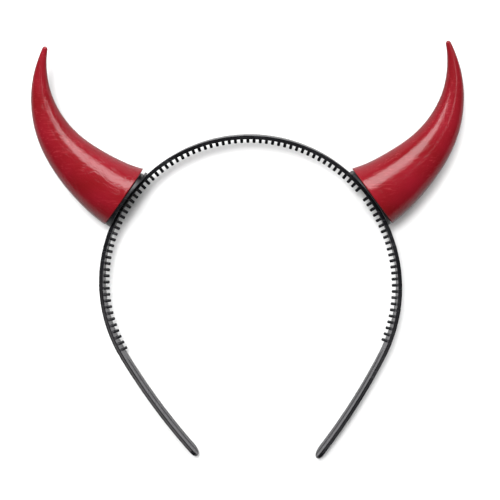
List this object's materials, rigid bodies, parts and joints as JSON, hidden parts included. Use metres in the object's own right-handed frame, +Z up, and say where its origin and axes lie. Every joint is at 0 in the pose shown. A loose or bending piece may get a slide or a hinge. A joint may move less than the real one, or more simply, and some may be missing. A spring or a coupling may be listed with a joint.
{
  "type": "devil horns headband",
  "caption": "Springy black plastic comb headband with a pair of hollow, curved, glossy red devil horns seated on top, lying flat.",
  "frame": {"origin": "centre of the footprint, on the surface that the headband lies on", "axes": "+Z up from the surface, +Y from the leg tips to the crown and the horn tips, +X towards the right-hand horn; the plane of the band leans five degrees, because it lies on the undersides of the horns and on the leg tips"},
  "size_m": [0.1936, 0.1974, 0.0305],
  "materials": {
    "band_plastic": "black moulded plastic, semi-gloss",
    "horn_plastic": "glossy red moulded plastic, lightly scuffed",
    "base_plastic": "black moulded plastic, semi-gloss"
  },
  "bodies": {
    "root": {"headband": "band_plastic", "horn_left": "horn_plastic", "horn_right": "horn_plastic", "base_left": "base_plastic", "base_right": "base_plastic"}
  },
  "joints": []
}
